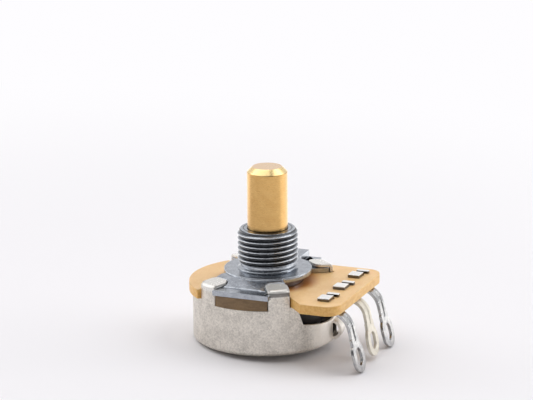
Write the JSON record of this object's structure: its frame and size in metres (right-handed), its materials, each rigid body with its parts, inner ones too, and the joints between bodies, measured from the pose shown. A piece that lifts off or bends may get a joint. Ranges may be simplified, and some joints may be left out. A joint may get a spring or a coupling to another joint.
{
  "type": "rotary potentiometer",
  "caption": "Panel potentiometer: a solid brass shaft turns a wiper inside a folded metal case, with a threaded bushing and solder lugs.",
  "frame": {"origin": "on the shaft's axis, in the round flange's mounting face", "axes": "+Z along the shaft towards its free end, +X towards the solder lugs, the two clamping ears along Y"},
  "size_m": [0.031, 0.023, 0.0295],
  "materials": {
    "case_metal": "matt tinned sheet",
    "plate_metal": "bright plated zinc casting",
    "board_laminate": "paper laminate, tan",
    "track_carbon": "screened carbon",
    "pad_silver": "screened silver",
    "lug_tin": "tinned strip",
    "shaft_brass": "turned brass",
    "ring_steel": "spring steel",
    "carrier_plastic": "moulded, dark brown",
    "spring_bronze": "rolled spring sheet"
  },
  "bodies": {
    "case": {"case_cup": "case_metal", "bushing_plate": "plate_metal", "terminal_board": "board_laminate", "resistive_track": "track_carbon", "track_end_pads": "pad_silver", "solder_lug_left": "lug_tin", "solder_lug_middle": "lug_tin", "solder_lug_right": "lug_tin"},
    "rotor": {"shaft": "shaft_brass", "retaining_ring": "ring_steel", "wiper_carrier": "carrier_plastic", "contact_spring": "spring_bronze"}
  },
  "joints": [
    {"name": "shaft_turn", "type": "hinge", "parent": "case", "child": "rotor", "pos_m": [0, 0, 0], "axis": [0, 0, 1], "range_deg": [-150, 150]}
  ]
}
